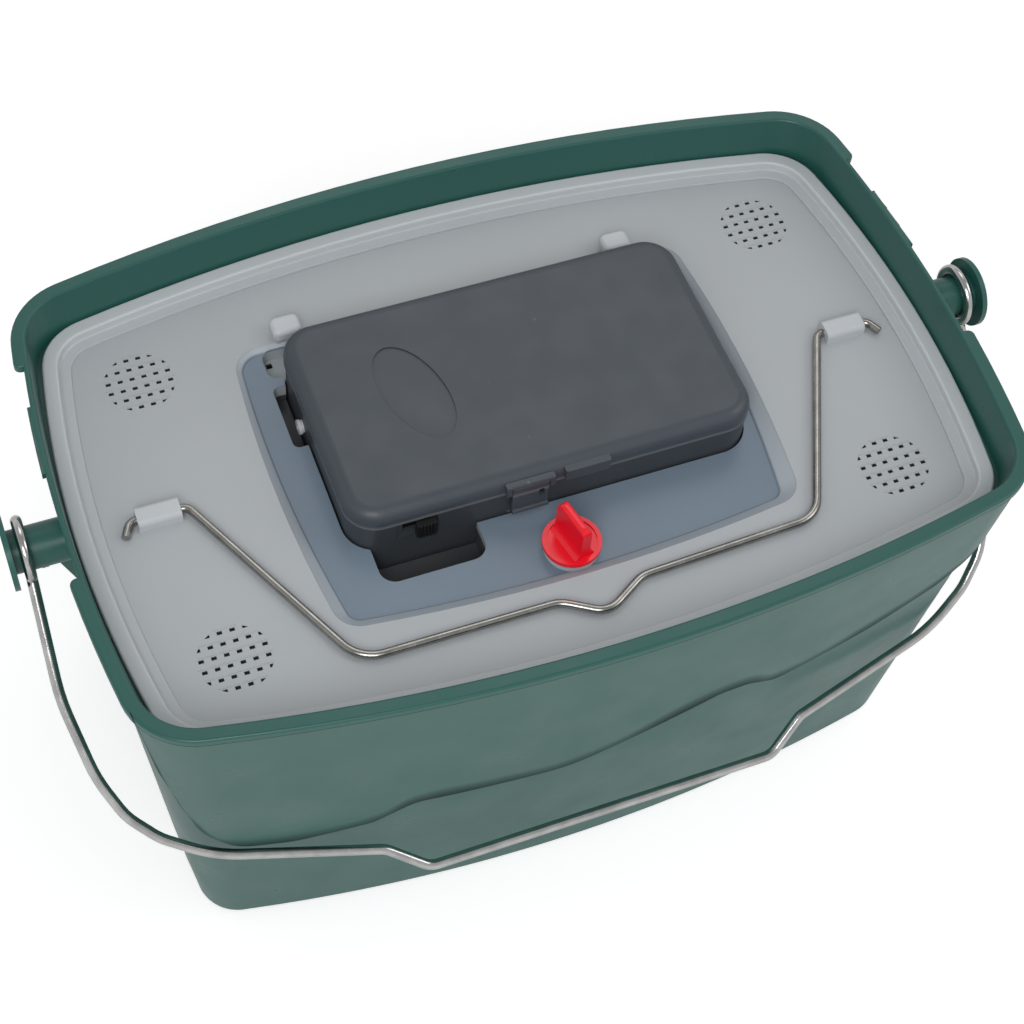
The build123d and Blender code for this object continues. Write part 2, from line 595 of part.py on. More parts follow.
with BuildPart() as plug_fin:
    with BuildSketch(Plane.YZ) as fin_section:
        with BuildLine():
            half, foot = plug_fin_thickness / 2, plug_fin_thickness / 2 + plug_fin_flare
            Polyline((-foot, 0), (-half, plug_fin_flare), (-half, plug_fin_height),
                     (half, plug_fin_height), (half, plug_fin_flare), (foot, 0), close=True)
        make_face()
        fillet(fin_section.vertices().sort_by(Axis.Y)[2:4], 2 * plug_fin_flare)
        fillet(fin_section.vertices().sort_by(Axis.Y)[-2:], plug_fin_round)
    extrude(amount=plug_fin_length / 2, both=True)
    with BuildSketch(Plane.XZ) as fin_side:
        Rectangle(plug_fin_length, 2 * plug_fin_height)
        fillet(fin_side.vertices(), plug_fin_corner)
    extrude(amount=plug_fin_length, both=True, mode=Mode.INTERSECT)

with BuildPart() as plug:
    rod_z(plug_z, plug_z + plug_flange_thickness + plug_rim_rise, plug_x, plug_y,
          plug_flange_radius)
    rod_z(plug_z + plug_flange_thickness, plug_z + plug_flange_thickness + plug_rim_rise,
          plug_x, plug_y, plug_flange_radius - plug_rim_width, mode=Mode.SUBTRACT)
    rod_z(plug_z - plug_stem_length, plug_z, plug_x, plug_y, plug_stem_radius)
    chamfer(plug.edges().sort_by(Axis.Z)[0], plug_stem_chamfer)
    with Locations((plug_x, plug_y, plug_z + plug_flange_thickness)):
        add(plug_fin.part, rotation=(0, 0, plug_fin_turn))
save(plug, "plug")

# ---------------------------------------------------------------- pump case
hinge_places = [pump_x - hinge_spacing / 2, pump_x + hinge_spacing / 2]
deck_posts = [(x, y)
              for x in (pump_left + pump_wall + post_inset, partition_x - post_inset)
              for y in (pump_front + pump_wall + post_inset, pump_back - pump_wall - post_inset)]
cell_places = [pump_y - cell_pitch / 2, pump_y + cell_pitch / 2]
rib_places = [(bay_left + bay_right - rib_spacing) / 2, (bay_left + bay_right + rib_spacing) / 2]

with BuildPart() as pump_case:
    slab(pump_outline(), case_bottom, parting_z)
    fillet(pump_case.faces().sort_by(Axis.Z)[0].edges(), case_edge_radius)
    slab(pump_outline(case_lip_reach), parting_z - case_lip_height, parting_z)
    slab(pump_outline(-pump_wall), inner_floor, parting_z, mode=Mode.SUBTRACT)
    block(partition_x, bay_left, pump_front + pump_wall, pump_back - pump_wall,
          inner_floor, deck_z)
    for rib_x in rib_places:
        block(rib_x - rib_thickness / 2, rib_x + rib_thickness / 2, pump_front + pump_wall,
              pump_back - pump_wall, inner_floor, inner_floor + rib_height)
    for cell_y in cell_places:
        rod_x(bay_left, bay_right, cell_y, cell_z, cell_radius + cell_lift / 2,
              mode=Mode.SUBTRACT)
    for post in deck_posts:
        rod_z(inner_floor, deck_z, *post, post_radius)
        rod_z(deck_z + deck_thickness - screw_length - screw_clearance, deck_z, *post,
              screw_radius + screw_clearance, mode=Mode.SUBTRACT)
    # front wall: switch recess and slot, and the latch's catch
    block(switch_x - switch_travel - knob_width / 2 - 1, switch_x + knob_width / 2 + 1,
          pump_front, pump_front + switch_recess_depth, switch_z - knob_height / 2 - 1,
          parting_z - case_lip_height, mode=Mode.SUBTRACT)
    block(switch_x - switch_travel - switch_stem / 2 - switch_gap,
          switch_x + switch_stem / 2 + switch_gap, pump_front, pump_front + pump_wall,
          switch_z - switch_stem / 2 - switch_gap, switch_z + slot_top_reach,
          mode=Mode.SUBTRACT)
    block(latch_x - catch_width / 2, latch_x + catch_width / 2, pump_front - catch_reach,
          pump_front, parting_z - latch_drop / 2, parting_z - latch_drop / 2 + catch_height)
    # left wall: nozzle hole
    rod_x(pump_left, pump_left + pump_wall, mech_y, mech_z + nozzle_rise,
          nozzle_radius + screw_clearance, mode=Mode.SUBTRACT)
    # back wall: middle hinge knuckles
    for hinge_x in hinge_places:
        block(hinge_x - knuckle_length / 2, hinge_x + knuckle_length / 2, pump_back, hinge_y,
              hinge_z - knuckle_radius, hinge_z)
        rod_x(hinge_x - knuckle_length / 2, hinge_x + knuckle_length / 2, hinge_y, hinge_z,
              knuckle_radius)
        rod_x(hinge_x - knuckle_length / 2, hinge_x + knuckle_length / 2, hinge_y, hinge_z,
              hinge_pin_radius, mode=Mode.SUBTRACT)
save(pump_case, "pump_case")

hinge_half = 1.5 * knuckle_length + knuckle_gap
with BuildPart() as cover_hinge_pins:
    for hinge_x in hinge_places:
        rod_x(hinge_x - hinge_half, hinge_x + hinge_half, hinge_y, hinge_z, hinge_pin_radius)
save(cover_hinge_pins, "cover_hinge_pins")

# ---------------------------------------------------------------- pump cover
hood_front = latch_y - latch_barrel - 0.1
hood_left = latch_x - latch_width / 2 - latch_hood_wall
hood_right = latch_x + latch_width / 2 + latch_hood_wall

with BuildPart() as pump_cover:
    slab(pump_outline(case_lip_reach), cover_bottom, cover_top)
    fillet(pump_cover.faces().sort_by(Axis.Z)[-1].edges(), cover_edge_radius)
    # thumb tab and latch hood on the front
    with BuildSketch(Plane.XY.offset(cover_bottom)):
        with Locations((tab_x, pump_front)):
            RectangleRounded(tab_width, 2 * tab_reach + 2 * case_lip_reach, tab_reach / 2)
    extrude(amount=tab_height)
    block(hood_left, hood_right, hood_front, pump_front, cover_bottom,
          cover_bottom + latch_hood_height)
    hood_edges = pump_cover.edges().filter_by(Axis.X).filter_by(
        lambda edge: abs(edge.center().Y - hood_front) < 0.01
        and edge.center().Z > cover_bottom + latch_hood_height / 2)
    fillet(hood_edges, latch_hood_radius)
    # hinge arms that reach down behind the case, each with a knuckle
    arm_slant = knuckle_radius * sin(radians(45))
    for hinge_x in hinge_places:
        for side in (-1, 1):
            middle = hinge_x + side * (knuckle_length + knuckle_gap)
            left, right = middle - knuckle_length / 2, middle + knuckle_length / 2
            with BuildSketch(Plane.YZ.offset(left)):
                with BuildLine():
                    Polyline((pump_back, cover_bottom), (pump_back, cover_bottom + hinge_arm_rise),
                             (hinge_y + arm_slant, hinge_z + arm_slant), (hinge_y, hinge_z),
                             (hinge_y - knuckle_radius, hinge_z),
                             (hinge_y - knuckle_radius, cover_bottom), close=True)
                make_face()
            extrude(amount=knuckle_length)
            rod_x(left, right, hinge_y, hinge_z, knuckle_radius)
            rod_x(left, right, hinge_y, hinge_z, hinge_pin_radius + hinge_clearance,
                  mode=Mode.SUBTRACT)
    # hollow, gasket groove, latch pocket and bare badge recess
    slab(pump_outline(-pump_wall), cover_bottom, cover_top - pump_wall, mode=Mode.SUBTRACT)
    with BuildSketch(Plane.XY.offset(cover_bottom)):
        add(pump_outline(-gasket_inset))
        add(pump_outline(-gasket_inset - gasket_width), mode=Mode.SUBTRACT)
    extrude(amount=gasket_height, mode=Mode.SUBTRACT)
    block(latch_x - latch_width / 2 - latch_gap, latch_x + latch_width / 2 + latch_gap,
          hood_front, latch_y + latch_barrel + latch_gap, cover_bottom,
          latch_z + latch_barrel + latch_gap, mode=Mode.SUBTRACT)
    rod_x(hood_left, hood_right, latch_y, latch_z, latch_pin_radius, mode=Mode.SUBTRACT)
    badge_plane = Plane(origin=(badge_x, badge_y, cover_top - badge_depth)).rotated(
        (0, 0, badge_turn))
    with BuildSketch(badge_plane):
        Ellipse(badge_length / 2, badge_width / 2)
    extrude(amount=badge_depth, mode=Mode.SUBTRACT)
save(pump_cover, "pump_cover")

with BuildPart() as cover_gasket:
    with BuildSketch(Plane.XY.offset(cover_bottom)):
        add(pump_outline(-gasket_inset))
        add(pump_outline(-gasket_inset - gasket_width), mode=Mode.SUBTRACT)
    extrude(amount=gasket_height)
save(cover_gasket, "cover_gasket")

with BuildPart() as cover_latch:
    latch_left, latch_right = latch_x - latch_width / 2, latch_x + latch_width / 2
    rod_x(latch_left, latch_right, latch_y, latch_z, latch_barrel)
    block(latch_left, latch_right, latch_y - latch_barrel, latch_y - latch_barrel
          + latch_thickness, latch_z - latch_drop, latch_z)
    rod_x(latch_left, latch_right, latch_y, latch_z, latch_pin_radius + hinge_clearance,
          mode=Mode.SUBTRACT)
    curl_z = latch_z - latch_drop + latch_barrel
    rod_x(latch_left, latch_right, latch_y - latch_barrel, curl_z, latch_barrel)
    slot_right = latch_right - latch_slot_margin
    slot_top = cover_bottom - latch_slot_margin / 2
    block(slot_right - latch_slot_width, slot_right, latch_y - latch_barrel,
          latch_y + latch_barrel, slot_top - latch_slot_height, slot_top, mode=Mode.SUBTRACT)
save(cover_latch, "cover_latch")

with BuildPart() as latch_pin:
    rod_x(hood_left, hood_right, latch_y, latch_z, latch_pin_radius)
save(latch_pin, "latch_pin")

# ---------------------------------------------------------------- slide switch
with BuildPart() as switch_slider:
    knob_back = pump_front - seat_gap
    knob_left, knob_right = switch_x - knob_width / 2, switch_x + knob_width / 2
    block(knob_left, knob_right, knob_back - knob_reach, knob_back,
          switch_z - knob_height / 2, switch_z + knob_height / 2)
    for index in (-2, -1, 0, 1, 2):
        rib_centre = switch_x + index * knob_width / 6
        block(rib_centre - knob_width / 24, rib_centre + knob_width / 24,
              knob_back - knob_reach - knob_rib, knob_back - knob_reach,
              switch_z - knob_height / 2, switch_z + knob_height / 2)
    block(switch_x - switch_stem / 2, switch_x + switch_stem / 2, knob_back,
          pump_front + pump_wall + 1.0, switch_z - switch_stem / 2, switch_z + switch_stem / 2)
    block(switch_x - switch_shoe / 2, switch_x + switch_shoe / 2, pump_front + pump_wall + 1.0,
          pump_front + pump_wall + 3.0, switch_z - switch_shoe / 2, switch_z + switch_shoe / 2)
save(switch_slider, "switch_slider")

with BuildPart() as switch_body:
    body_x = switch_x - switch_travel / 2
    body_front = pump_front + pump_wall
    block(body_x - switch_body_length / 2, body_x + switch_body_length / 2, body_front,
          body_front + switch_body_depth, switch_z - switch_body_height / 2,
          switch_z + switch_body_height / 2)
    block(switch_x - switch_travel - switch_shoe / 2 - switch_gap,
          switch_x + switch_shoe / 2 + switch_gap, body_front, body_front + 3.0 + switch_gap,
          switch_z - switch_shoe / 2 - switch_gap, switch_z + switch_shoe / 2 + switch_gap,
          mode=Mode.SUBTRACT)
    for index in (-1, 0, 1):
        block(body_x + index * 5 - 0.8, body_x + index * 5 + 0.8, body_front + switch_body_depth,
              body_front + switch_body_depth + 3.0, switch_z - 0.3, switch_z + 0.3)
save(switch_body, "switch_body")

# ---------------------------------------------------------------- motor and crank
with BuildPart() as motor_can:
    rod_y(motor_front - motor_length, motor_front, mech_x, mech_z, motor_radius)
    fillet(motor_can.edges().filter_by(GeomType.CIRCLE), motor_edge_radius)
    rod_y(motor_front, motor_front + motor_boss_length, mech_x, mech_z, motor_boss_radius)
    rod_y(motor_front - shaft_depth, motor_front + motor_boss_length, mech_x, mech_z,
          shaft_radius + shaft_clearance, mode=Mode.SUBTRACT)
save(motor_can, "motor_can")

with BuildPart() as motor_end_cap:
    cap_back = motor_front - motor_length
    rod_y(cap_back - motor_cap_length, cap_back, mech_x, mech_z, motor_radius - motor_edge_radius)
    for side in (-1, 1):
        tag_x = mech_x + side * motor_radius / 2
        block(tag_x - 1.0, tag_x + 1.0, cap_back - motor_cap_length - 3.0,
              cap_back - motor_cap_length, mech_z - 0.3, mech_z + 0.3)
save(motor_end_cap, "motor_end_cap")

bracket_screws_x = [mech_x - bracket_width / 3, mech_x + bracket_width / 3]
bracket_screw_y = bracket_back + bracket_foot - 2 * screw_head_radius
with BuildPart() as motor_bracket:
    block(mech_x - bracket_width / 2, mech_x + bracket_width / 2, motor_front, bracket_back,
          inner_floor, mech_z + motor_radius)
    block(mech_x - bracket_width / 2, mech_x + bracket_width / 2, bracket_back,
          bracket_back + bracket_foot, inner_floor, inner_floor + bracket_thickness)
    rod_y(motor_front, bracket_back, mech_x, mech_z, motor_boss_radius + screw_clearance,
          mode=Mode.SUBTRACT)
    for screw_x in bracket_screws_x:
        rod_z(inner_floor, inner_floor + bracket_thickness, screw_x, bracket_screw_y,
              screw_radius + screw_clearance, mode=Mode.SUBTRACT)
save(motor_bracket, "motor_bracket")

with BuildPart() as bracket_screws:
    for screw_x in bracket_screws_x:
        rod_z(inner_floor, inner_floor + bracket_thickness, screw_x, bracket_screw_y,
              screw_radius)
        head_bottom = inner_floor + bracket_thickness
        rod_z(head_bottom, head_bottom + screw_head_height, screw_x, bracket_screw_y,
              screw_head_radius)
save(bracket_screws, "bracket_screws")

with BuildPart() as motor_shaft:
    rod_y(motor_front - shaft_depth + crank_gap, crank_back, mech_x, mech_z, shaft_radius)
save(motor_shaft, "motor_shaft")

with BuildPart() as crank_disc:
    rod_y(crank_front, crank_back, mech_x, mech_z, crank_radius)
    rod_y(crank_front, crank_back, mech_x, mech_z, shaft_radius, mode=Mode.SUBTRACT)
save(crank_disc, "crank_disc")

with BuildPart() as crank_pin:
    rod_y(crank_back, crank_back + crank_pin_length, mech_x, mech_z + crank_throw,
          crank_pin_radius)
save(crank_pin, "crank_pin")

# ---------------------------------------------------------------- rod, diaphragm and valves
piston_left = chamber_open - piston_depth - piston_thickness
with BuildPart() as yoke_rod:
    frame_half = yoke_slot_half_width + yoke_rim
    block(mech_x - frame_half, mech_x + frame_half, yoke_front, yoke_front + yoke_thickness,
          mech_z - yoke_slot_half_height - yoke_rim, mech_z + yoke_slot_half_height + yoke_rim)
    block(mech_x - yoke_slot_half_width, mech_x + yoke_slot_half_width, yoke_front,
          yoke_front + yoke_thickness, mech_z - yoke_slot_half_height,
          mech_z + yoke_slot_half_height, mode=Mode.SUBTRACT)
    rod_right = mech_x - crank_radius - rod_travel - 2 * yoke_gap
    block(rod_right - yoke_rim, mech_x - yoke_slot_half_width, yoke_front,
          yoke_front + yoke_thickness, mech_z - rod_radius, mech_z + rod_radius)
    rod_x(piston_left, rod_right, mech_y, mech_z, rod_radius)
    rod_x(piston_left, piston_left + piston_thickness, mech_y, mech_z, piston_radius)
save(yoke_rod, "yoke_rod")

with BuildPart() as rod_guide:
    block(guide_x - guide_length / 2, guide_x + guide_length / 2, mech_y - guide_width / 2,
          mech_y + guide_width / 2, inner_floor, mech_z + guide_width / 2)
    rod_x(guide_x - guide_length, guide_x + guide_length, mech_y, mech_z,
          rod_radius + rod_clearance, mode=Mode.SUBTRACT)
save(rod_guide, "rod_guide")

with BuildPart() as valve_block:
    rod_x(chamber_closed, chamber_open, mech_y, mech_z, chamber_radius)
    block(chamber_closed, chamber_open, mech_y - chamber_foot / 2, mech_y + chamber_foot / 2,
          inner_floor, mech_z)
    rod_x(chamber_closed + chamber_end, chamber_open, mech_y, mech_z,
          chamber_radius - chamber_wall, mode=Mode.SUBTRACT)
    rod_x(chamber_closed, chamber_closed + chamber_end, mech_y, mech_z + nozzle_rise,
          nozzle_bore, mode=Mode.SUBTRACT)
    rod_x(chamber_closed, chamber_closed + chamber_end, mech_y, mech_z - flap_offset,
          port_radius, mode=Mode.SUBTRACT)
save(valve_block, "valve_block")

with BuildPart() as valve_flaps:
    flap_left = chamber_closed + chamber_end
    for flap_z in (mech_z - flap_offset, mech_z + flap_offset):
        rod_x(flap_left, flap_left + flap_thickness, mech_y, flap_z, flap_radius)
save(valve_flaps, "valve_flaps")

with BuildPart() as outlet_nozzle:
    nozzle_z = mech_z + nozzle_rise
    nozzle_tip = pump_left - nozzle_reach
    rod_x(nozzle_tip, chamber_closed, mech_y, nozzle_z, nozzle_radius)
    rod_x(nozzle_tip, nozzle_tip + nozzle_barb_length, mech_y, nozzle_z,
          nozzle_radius + nozzle_barb)
    rod_x(nozzle_tip, chamber_closed, mech_y, nozzle_z, nozzle_bore, mode=Mode.SUBTRACT)
save(outlet_nozzle, "outlet_nozzle")

with BuildPart() as diaphragm:
    rod_x(chamber_open, chamber_open + diaphragm_thickness, mech_y, mech_z, chamber_radius)
    rod_x(chamber_open, chamber_open + diaphragm_thickness, mech_y, mech_z,
          rod_radius + rod_clearance, mode=Mode.SUBTRACT)
save(diaphragm, "diaphragm")

with BuildPart() as diaphragm_clamp:
    clamp_left = chamber_open + diaphragm_thickness
    rod_x(clamp_left, clamp_left + clamp_thickness, mech_y, mech_z, chamber_radius)
    rod_x(clamp_left, clamp_left + clamp_thickness, mech_y, mech_z,
          chamber_radius - clamp_rim, mode=Mode.SUBTRACT)
save(diaphragm_clamp, "diaphragm_clamp")

# ---------------------------------------------------------------- inner deck and its screws
with BuildPart() as mechanism_cover:
    block(pump_left + pump_wall + deck_margin, bay_left, pump_front + pump_wall + deck_margin,
          pump_back - pump_wall - deck_margin, deck_z, deck_z + deck_thickness)
    fillet(mechanism_cover.edges().filter_by(Axis.Z).sort_by(Axis.X)[:2],
           pump_corner_radius - pump_wall)
    block(body_x - switch_body_length / 2 - deck_gap, body_x + switch_body_length / 2 + deck_gap,
          pump_front, body_front + switch_body_depth + deck_gap, deck_z,
          deck_z + deck_thickness, mode=Mode.SUBTRACT)
    for post in deck_posts:
        rod_z(deck_z, deck_z + deck_thickness, *post, screw_radius + screw_clearance,
              mode=Mode.SUBTRACT)
save(mechanism_cover, "mechanism_cover")

with BuildPart() as mechanism_screws:
    deck_top = deck_z + deck_thickness
    for post in deck_posts:
        rod_z(deck_top - screw_length, deck_top, *post, screw_radius)
        rod_z(deck_top, deck_top + screw_head_height, *post, screw_head_radius)
        for length, width in ((1, 0), (0, 1)):
            block(post[0] - max(length * screw_head_radius, screw_slot_width / 2) * 0.7,
                  post[0] + max(length * screw_head_radius, screw_slot_width / 2) * 0.7,
                  post[1] - max(width * screw_head_radius, screw_slot_width / 2) * 0.7,
                  post[1] + max(width * screw_head_radius, screw_slot_width / 2) * 0.7,
                  deck_top + screw_head_height - screw_slot_depth,
                  deck_top + screw_head_height, mode=Mode.SUBTRACT)
save(mechanism_screws, "mechanism_screws")

# ---------------------------------------------------------------- batteries and contacts
# The front cell points left and the rear cell points right.
cell_start = bay_left + contact_thickness + cell_nub_length
cell_finish = bay_right - contact_thickness - cell_nub_length
for name, cell_y, left, nub_left in (
        ("battery_front", cell_places[0], cell_start, cell_start - cell_nub_length),
        ("battery_rear", cell_places[1], cell_finish - cell_length, cell_finish)):
    with BuildPart() as battery:
        rod_x(left, left + cell_length, cell_y, cell_z, cell_radius)
        fillet(battery.edges().filter_by(GeomType.CIRCLE), cell_edge_radius)
        rod_x(nub_left, nub_left + cell_nub_length, cell_y, cell_z, cell_nub_radius)
    save(battery, name)

with BuildPart() as contact_terminals:
    for cell_y in cell_places:
        block(bay_left, bay_left + contact_thickness, cell_y - contact_width / 2,
              cell_y + contact_width / 2, cell_z - contact_height / 2,
              cell_z + contact_height / 2)
save(contact_terminals, "contact_terminals")

with BuildPart() as contact_link:
    block(bay_right - contact_thickness, bay_right, cell_places[0] - contact_width / 2,
          cell_places[1] + contact_width / 2, cell_z - contact_height / 2,
          cell_z + contact_height / 2)
save(contact_link, "contact_link")

spring_length = bay_right - bay_left - 2 * contact_thickness - cell_nub_length - cell_length
with BuildPart() as contact_springs:
    for cell_y, spring_left in ((cell_places[0], cell_start + cell_length),
                                (cell_places[1], bay_left + contact_thickness)):
        coil_start = spring_left + spring_wire / 2
        coil_length = spring_length - spring_wire
        with BuildLine() as coil:
            Helix(coil_length / spring_turns, coil_length, spring_radius,
                  center=(coil_start, cell_y, cell_z), direction=(1, 0, 0))
        with BuildSketch(Plane(origin=coil.line @ 0, z_dir=coil.line % 0)):
            Circle(spring_wire / 2)
        sweep(path=coil.line, is_frenet=True)
save(contact_springs, "contact_springs")
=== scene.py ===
"""Looks of the aerated bait bucket: finishes, small moulded details, light and camera."""
import math

import bpy
from mathutils import Matrix, Vector


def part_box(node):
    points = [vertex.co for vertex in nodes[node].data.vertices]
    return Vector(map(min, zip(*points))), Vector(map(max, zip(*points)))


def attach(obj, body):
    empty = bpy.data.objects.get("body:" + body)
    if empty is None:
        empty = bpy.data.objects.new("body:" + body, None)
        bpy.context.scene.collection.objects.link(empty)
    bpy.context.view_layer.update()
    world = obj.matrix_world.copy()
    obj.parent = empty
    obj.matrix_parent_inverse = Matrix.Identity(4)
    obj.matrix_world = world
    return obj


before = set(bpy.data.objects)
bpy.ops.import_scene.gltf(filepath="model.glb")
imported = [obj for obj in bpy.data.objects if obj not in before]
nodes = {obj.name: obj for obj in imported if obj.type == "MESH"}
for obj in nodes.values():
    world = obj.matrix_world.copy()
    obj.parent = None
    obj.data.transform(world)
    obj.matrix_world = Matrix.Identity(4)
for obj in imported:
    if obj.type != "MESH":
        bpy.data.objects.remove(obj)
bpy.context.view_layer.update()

# ---------------------------------------------------------------- sizes, in metres
clip_height = 0.0053                                # of a handle clip above the lid's panel
panel_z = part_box("handle_clip_left")[1].z - clip_height
bucket_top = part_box("bucket")[1].z
lip_height = 0.0032                                 # of the bucket's turned-out lip
parting_z = 0.1785                                  # top of the pump's case, under its cover

tray_front, tray_back = -0.0695, 0.0645             # the tray's floor rises towards the back
tray_front_depth, tray_back_depth = 0.0060, 0.00235
tray_slope = (tray_front_depth - tray_back_depth) / (tray_back - tray_front)
pit_depth = 0.0082                                  # the lid gets painted shade from here below the panel
post_reach, post_back, post_foot = 0.0975, 0.078, 0.0015    # the white posts stand within these

vent_x, vent_y, vent_pitch, vent_rows = 0.1259, 0.0623, 0.0045, 6
vent_inner, vent_outer = 0.1110, 0.1410             # the holes lie between these, each side
field_radius = 0.0132
ridge_width, ridge_height, ridge_offset = 0.00045, 0.00018, 0.00135

# The step on the front wall, as (x, drop below the rim).
step_line = [(-0.166, -0.0050), (-0.161, 0.0410), (-0.151, 0.0890), (-0.139, 0.1070),
             (-0.118, 0.1095), (-0.088, 0.1040), (-0.073, 0.0920), (-0.045, 0.0935),
             (-0.014, 0.0955), (0.044, 0.0725), (0.055, 0.0735), (0.068, 0.0810),
             (0.108, 0.0710), (0.137, 0.0600), (0.156, 0.0410), (0.166, -0.0050)]
step_span = 0.180                                   # its curve is drawn this far to either side
step_shade = 0.0105                                 # height of the painted shade above the step

# ---------------------------------------------------------------- colours
GREEN = (0.022, 0.106, 0.090)
LID_WHITE = (0.45, 0.48, 0.505)
# The lid's plastic in lit and shaded copies: painted light on the flange and slope, painted shade
# in the well.
FLANGE_LIT_WHITE = (0.58, 0.61, 0.635)
SLOPE_LIT_WHITE = (0.50, 0.55, 0.60)
WELL_SHADE_WHITE = (0.40, 0.44, 0.46)
CLIP_WHITE = (0.56, 0.59, 0.62)
# The tray floor's blue is partly the plastic's own tint and partly painted shade.
TRAY_BLUE_AND_SHADE = (0.180, 0.237, 0.300)
# Painted shade in the lid's pits and vent holes.
PIT_SHADE_GREY = (0.06, 0.065, 0.07)
COVER_GREY = (0.056, 0.068, 0.083)
CASE_GREY = (0.045, 0.052, 0.060)
# Painted highlight along the pump case's lip.
LIP_HIGHLIGHT_GREY = (0.13, 0.14, 0.15)
SCUFF_GREY = (0.30, 0.31, 0.32)
INNER_GREY = (0.10, 0.11, 0.115)
SWITCH_BLACK = (0.012, 0.012, 0.013)
SEAL_BLACK = (0.02, 0.02, 0.02)
PLUG_RED = (0.95, 0.007, 0.024)
JACKET_BLUE = (0.05, 0.07, 0.19)
BRIGHT_STEEL = (0.58, 0.58, 0.57)
SATIN_STEEL = (0.38, 0.37, 0.345)
PLATED_STEEL = (0.60, 0.60, 0.60)
CAN_STEEL = (0.52, 0.53, 0.54)

# ---------------------------------------------------------------- light and view
floor_lift = 0.42                                   # glow of the floor, for the camera alone
side_light, overhead_light = 0.75, 0.42             # strength of the white surroundings
lamp_target = (0.0, 0.0, 0.15)
sensor_width = 36.0                                 # in millimetres
focal_pixels, frame_pixels = 2025.3, 1024.0         # focal length and picture width, in pixels


# ---------------------------------------------------------------- materials
def new_material(name, colour, roughness, metallic=0.0, specular=0.5):
    """A Principled material and its node tree."""
    material = bpy.data.materials.new(name)
    material.use_nodes = True
    tree = material.node_tree
    shader = tree.nodes["Principled BSDF"]
    shader.inputs["Base Color"].default_value = (*colour, 1.0)
    shader.inputs["Roughness"].default_value = roughness
    shader.inputs["Metallic"].default_value = metallic
    shader.inputs["Specular IOR Level"].default_value = specular
    return material, tree, shader


def object_noise(tree, scale, detail=3.0, stretch=(1.0, 1.0, 1.0)):
    """Noise on Object coordinates; the stretch scales each axis first."""
    coordinates = tree.nodes.new("ShaderNodeTexCoord")
    mapping = tree.nodes.new("ShaderNodeMapping")
    mapping.inputs["Scale"].default_value = stretch
    noise = tree.nodes.new("ShaderNodeTexNoise")
    noise.inputs["Scale"].default_value = scale
    noise.inputs["Detail"].default_value = detail
    tree.links.new(coordinates.outputs["Object"], mapping.inputs["Vector"])
    tree.links.new(mapping.outputs["Vector"], noise.inputs["Vector"])
    return noise.outputs["Fac"]


def ramp(tree, value, stops):
    """A colour ramp over a value; stops are (position, colour)."""
    node = tree.nodes.new("ShaderNodeValToRGB")
    elements = node.color_ramp.elements
    while len(elements) < len(stops):
        elements.new(0.5)
    for element, (position, colour) in zip(elements, stops):
        element.position = position
        element.color = (*colour, 1.0)
    tree.links.new(value, node.inputs["Fac"])
    return node.outputs["Color"]


def map_range(tree, value, low, high, to_low, to_high):
    """Linear map of a value from one range to another, clamped."""
    node = tree.nodes.new("ShaderNodeMapRange")
    node.inputs["From Min"].default_value = low
    node.inputs["From Max"].default_value = high
    node.inputs["To Min"].default_value = to_low
    node.inputs["To Max"].default_value = to_high
    tree.links.new(value, node.inputs["Value"])
    return node.outputs["Result"]


def math_node(tree, operation, first, second=0.0):
    """A math node over a socket and a socket or a number."""
    node = tree.nodes.new("ShaderNodeMath")
    node.operation = operation
    tree.links.new(first, node.inputs[0])
    if isinstance(second, (int, float)):
        node.inputs[1].default_value = second
    else:
        tree.links.new(second, node.inputs[1])
    return node.outputs[0]


def plain_colour(tree, colour):
    """A fixed colour as a socket."""
    node = tree.nodes.new("ShaderNodeRGB")
    node.outputs[0].default_value = (*colour, 1.0)
    return node.outputs[0]


def split_place(tree, coordinates="Object"):
    """The X, Y and Z of a texture coordinate, as sockets."""
    texture = tree.nodes.new("ShaderNodeTexCoord")
    split = tree.nodes.new("ShaderNodeSeparateXYZ")
    tree.links.new(texture.outputs[coordinates], split.inputs["Vector"])
    return split.outputs


def rising(tree, value, low, high):
    """0 up to low, 1 from high on."""
    return map_range(tree, value, low, high, 0.0, 1.0)


def falling(tree, value, low, high):
    """1 up to low, 0 from high on."""
    return map_range(tree, value, low, high, 1.0, 0.0)


def both(tree, first, second):
    """The overlap of two masks."""
    return math_node(tree, "MULTIPLY", first, second)


def band(tree, value, rise, fall):
    """1 between two soft edges, each given as where it starts and ends."""
    return both(tree, rising(tree, value, *rise), falling(tree, value, *fall))


def add_bump(tree, shader, height, strength, distance):
    """Bump from a height value."""
    bump = tree.nodes.new("ShaderNodeBump")
    bump.inputs["Strength"].default_value = strength
    bump.inputs["Distance"].default_value = distance
    tree.links.new(height, bump.inputs["Height"])
    tree.links.new(bump.outputs["Normal"], shader.inputs["Normal"])


def mix_colour(tree, factor, first, second):
    """Blend of two colour sockets by a factor; 6, 7 and 2 are the node's colour sockets."""
    node = tree.nodes.new("ShaderNodeMix")
    node.data_type = "RGBA"
    tree.links.new(factor, node.inputs[0])
    tree.links.new(first, node.inputs[6])
    tree.links.new(second, node.inputs[7])
    return node.outputs[2]


def shade(colour, amount):
    """The colour made lighter or darker."""
    return tuple(min(1.0, channel * amount) for channel in colour)


